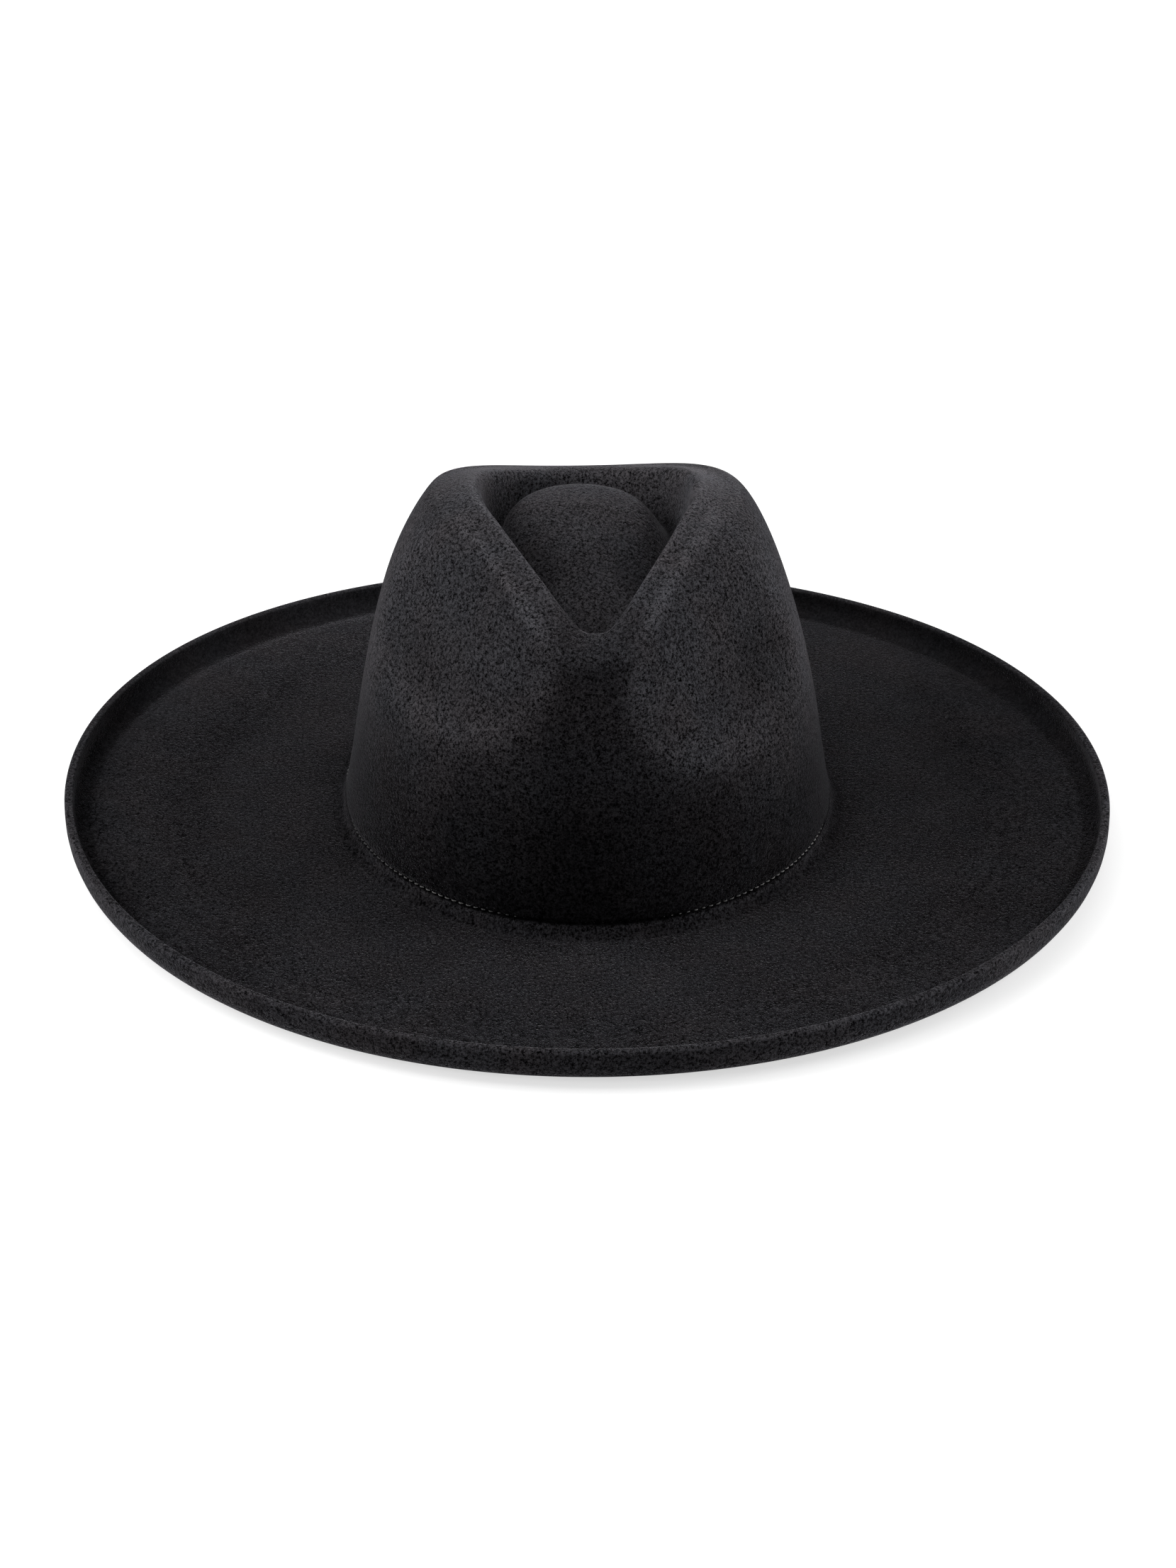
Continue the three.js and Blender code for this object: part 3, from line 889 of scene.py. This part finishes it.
# How deep the thread lies, in millimetres, by degrees from the front. At 0.9 the felt hides it, and
# there the photograph shows no thread.
STITCH_SUNK = (
    (-180, 0.12), (-100, 0.12), (-90, 0.9), (-74, 0.9), (-66, 0.16), (-26, 0.18), (-13, 0.85),
    (11, 0.85), (24, 0.4), (58, 0.4), (68, 0.9), (90, 0.9), (100, 0.12), (180, 0.12),
)
STITCH_SIDES = 7
STITCH_ROWS = 7
STITCH_SEED = 7
FOOT_SAMPLES = 4001


def foot_line(turns):
    """The seam's line round the foot, at one height, and the felt's outward direction there."""
    points = oval(turns, FOOT["front"], FOOT["back"], FOOT["half"], STITCH["up"])
    half_length = (FOOT["back"] - FOOT["front"]) / 2
    out = np.stack([np.sin(turns) / FOOT["half"], -np.cos(turns) / half_length, 0 * turns], -1)
    return points, out / np.linalg.norm(out, axis=-1, keepdims=True)


def stitch_row():
    """Tubes on the foot's line. Along each, the middle bows out of the felt by the cosine of a
    quarter turn either way, and the thread thins at both ends, where it goes into the felt."""
    rng = np.random.default_rng(STITCH_SEED)
    turns = np.linspace(0, 2 * np.pi, FOOT_SAMPLES)
    line, _ = foot_line(turns)
    run = np.concatenate([[0], np.cumsum(np.linalg.norm(np.diff(line, axis=0), axis=1))])
    count = int(round(run[-1] / STITCH["pitch"]))
    centres = (np.arange(count) + 0.5) * run[-1] / count + rng.normal(0, STITCH_SPREAD["place"], count)
    length = STITCH["length"] * rng.uniform(STITCH_SPREAD["shortest"], STITCH_SPREAD["longest"], count)
    t = np.linspace(-1, 1, STITCH_ROWS)
    along = t * length[:, None] / 2
    points, out = foot_line(np.interp(centres[:, None] + along, run, turns))
    arch = np.cos(t * np.pi / 2)
    sunk = np.interp(azimuth(points[:, STITCH_ROWS // 2]), *zip(*STITCH_SUNK))
    bow = arch * STITCH["bow"] - sunk[:, None]
    slant = rng.normal(0, STITCH_SPREAD["slant"], count)[:, None] * along
    radius = STITCH["thread"] / 2 * (STITCH["thin_end"] + (1 - STITCH["thin_end"]) * arch)
    side = np.linspace(0, 2 * np.pi, STITCH_SIDES, endpoint=False)
    up = np.array([0.0, 0.0, 1.0])
    centre = points + out * bow[..., None] + up * slant[..., None]
    ring = np.cos(side)[:, None] * out[:, :, None] + np.sin(side)[:, None] * up
    return centre[:, :, None] + ring * radius[:, None, None] + shift


def tube_mesh(name, tubes):
    """Closed tubes from an array of stitches by rows by sides: quads between rows, a cap at each end."""
    count, rows, sides = tubes.shape[:3]
    start = np.arange(count)[:, None, None] * rows * sides
    row = start + np.arange(rows - 1)[:, None] * sides
    k = np.arange(sides)
    after = (k + 1) % sides
    quads = np.stack([row + after, row + sides + after, row + sides + k, row + k], -1)
    caps = np.concatenate([start[:, 0] + k, start[:, 0] + (rows - 1) * sides + k[::-1]])
    loops = np.concatenate([quads.reshape(-1), caps.reshape(-1)])
    sizes = np.repeat([4, sides], [count * (rows - 1) * sides, 2 * count])
    return filled_mesh(name, tubes.reshape(-1, 3), loops, sizes)


tubes = stitch_row()
stitch_mesh = tube_mesh("stitches", tubes)
print("stitches:", len(tubes))

# %% Thread material
FADE_NOISE = (9, 2, 0.5)
FADE_SPAN = (0.38, 0.62)
FADE_TONE = (-0.1, 0.9)
STRANDS_NOISE = (2500, 2, 0.6)
STRANDS_TONE = 0.25
THREAD_DARK = (0.02, 0.02, 0.021, 1)
THREAD_LIGHT = (0.15, 0.147, 0.143, 1)

thread, tree, shader = new_material(
    "stitch_thread", Roughness=0.75, Specular_IOR_Level=0.3, Sheen_Weight=0.2
)
place = object_place(tree)
faded = remap(tree, noise(tree, place, *FADE_NOISE), *FADE_SPAN, *FADE_TONE)
strands = swing(tree, noise(tree, place, *STRANDS_NOISE), STRANDS_TONE)
thread_colour = tinted(tree, total(tree, faded, strands), THREAD_DARK, THREAD_LIGHT)
tree.links.new(thread_colour, shader.inputs["Base Color"])
add_piece("foot_stitches", stitch_mesh, thread, None)
print("thread material:", len(tree.nodes), "nodes")

# %% [markdown]
# ## Floor
# The hat lies on white. A lit white floor alone would turn grey away from the lights, so this one glows
# a little by itself, as a sheet lit from below does, and brighter far off. That keeps the soft shadow
# under the brim and lets the edge of the floor vanish in the background.

# %% Floor
FLOOR_HALF = 6
FLOOR_DROP = 0.0003
FLOOR_NOISE = (0.6, 1, 0.5)
FLOOR_DARK = (0.5, 0.5, 0.5, 1)
FLOOR_LIGHT = (0.51, 0.51, 0.51, 1)
FAR_FLOOR = (0.8, 1.6)
FLOOR_GLOW = (0.6, 1.2)
WHITE = (1, 1, 1, 1)


def flat_floor(half, height):
    """A square about the origin at one height."""
    mesh = bpy.data.meshes.new("floor")
    corners = [(-half, -half, height), (half, -half, height), (half, half, height), (-half, half, height)]
    mesh.from_pydata(corners, [], [(0, 1, 2, 3)])
    return mesh


floor_finish, tree, shader = new_material(
    "pale_floor", Roughness=0.9, Specular_IOR_Level=0.0, Emission_Color=WHITE
)
place = object_place(tree)
floor_colour = tinted(tree, noise(tree, place, *FLOOR_NOISE), FLOOR_DARK, FLOOR_LIGHT)
tree.links.new(floor_colour, shader.inputs["Base Color"])
away = add_node(tree, "ShaderNodeVectorMath", operation="LENGTH")
tree.links.new(place, away.inputs[0])
glow = remap(tree, away.outputs["Value"], *FAR_FLOOR, *FLOOR_GLOW)
tree.links.new(glow, shader.inputs["Emission Strength"])

floor = bpy.data.objects.new("floor", flat_floor(FLOOR_HALF, -FLOOR_DROP))
floor.data.materials.append(floor_finish)
bpy.context.scene.collection.objects.link(floor)
print("floor:", 2 * FLOOR_HALF, "m square")

# %% [markdown]
# ## Light
# A black hat needs much light from its sides. Large soft boxes stand left and right, some high and one
# low, others behind, and one hangs above. Hardly any light comes from the camera's side, so the front of
# the crown is the darkest place. The sky is white to the camera only, and lights nothing.

# %% Lights
HAT_MIDDLE = (0, 0, 0.06)
# Each light: where it stands in metres, its two sides, and its watts.
LIGHTS = {
    "left_box": ((-1.4, 0.2, 0.9), (1.0, 0.7), 17.7),
    "left_high": ((-0.8, 0.1, 1.5), (0.8, 0.8), 7.3),
    "left_front": ((-1.2, -0.9, 0.8), (0.8, 0.8), 11.8),
    "right_low": ((1.5, 0, 0.22), (1.0, 0.4), 22.0),
    "right_box": ((1.4, 0.2, 0.9), (1.0, 0.7), 11.0),
    "right_back": ((1.15, 1.15, 0.7), (0.8, 0.8), 2.2),
    "back_box": ((0, 1.1, 1.4), (1.6, 0.7), 6.1),
    "back_low": ((0, 1.6, 0.45), (1.6, 0.5), 2.8),
    "top_box": ((0, 0, 1.8), (1.2, 1.2), 7.5),
}


def aimed(obj, location, target):
    """Puts an object at location and turns its -Z axis to the target."""
    obj.location = location
    obj.rotation_euler = (Vector(target) - Vector(location)).to_track_quat("-Z", "Y").to_euler()
    bpy.context.scene.collection.objects.link(obj)


for light_name, (where, size, watts) in LIGHTS.items():
    light = bpy.data.lights.new(light_name, "AREA")
    light.shape = "RECTANGLE"
    light.size, light.size_y = size
    light.energy = watts
    aimed(bpy.data.objects.new(light_name, light), where, HAT_MIDDLE)
print("lights:", ", ".join(LIGHTS))

# %% Sky
world = bpy.data.worlds.new("studio")
world.use_nodes = True
sky = world.node_tree.nodes["Background"]
sky.inputs["Color"].default_value = WHITE
seen = add_node(world.node_tree, "ShaderNodeLightPath").outputs["Is Camera Ray"]
world.node_tree.links.new(seen, sky.inputs["Strength"])
bpy.context.scene.world = world
bpy.context.scene.view_settings.view_transform = "Standard"
print("sky:", world.name)

# %% [markdown]
# ## Camera
# The photograph looks down at the hat's front from a little over a metre away. The distance decides how
# much larger the front of the brim looks than its back, and was worked out from the two ovals that the
# brim's outline and the row of stitches make. The lens follows from the distance and the scale.

# %% Camera
PHOTO = (1659, 2212)
LOOK_DOWN = 26.3
LOOK_ASIDE = -2.0
DISTANCE = 1.25
PIXELS_PER_MM = 3.90
HAT_PIXEL = (828.7, 1132.0)
SENSOR = 36

down, aside = math.radians(LOOK_DOWN), math.radians(LOOK_ASIDE)
toward = np.array([math.sin(aside) * math.cos(down), -math.cos(aside) * math.cos(down), math.sin(down)])
ring_origin = shift * MM
camera_data = bpy.data.cameras.new("camera")
camera_data.sensor_fit = "HORIZONTAL"
camera_data.sensor_width = SENSOR
camera_data.lens = SENSOR * PIXELS_PER_MM * DISTANCE / MM / PHOTO[0]
camera_data.shift_x = -(HAT_PIXEL[0] - PHOTO[0] / 2) / PHOTO[0]
camera_data.shift_y = (HAT_PIXEL[1] - PHOTO[1] / 2) / PHOTO[0]
camera = bpy.data.objects.new("camera", camera_data)
aimed(camera, tuple(ring_origin + toward * DISTANCE), tuple(ring_origin))
bpy.context.scene.camera = camera
print("lens:", round(camera_data.lens, 1), "mm")
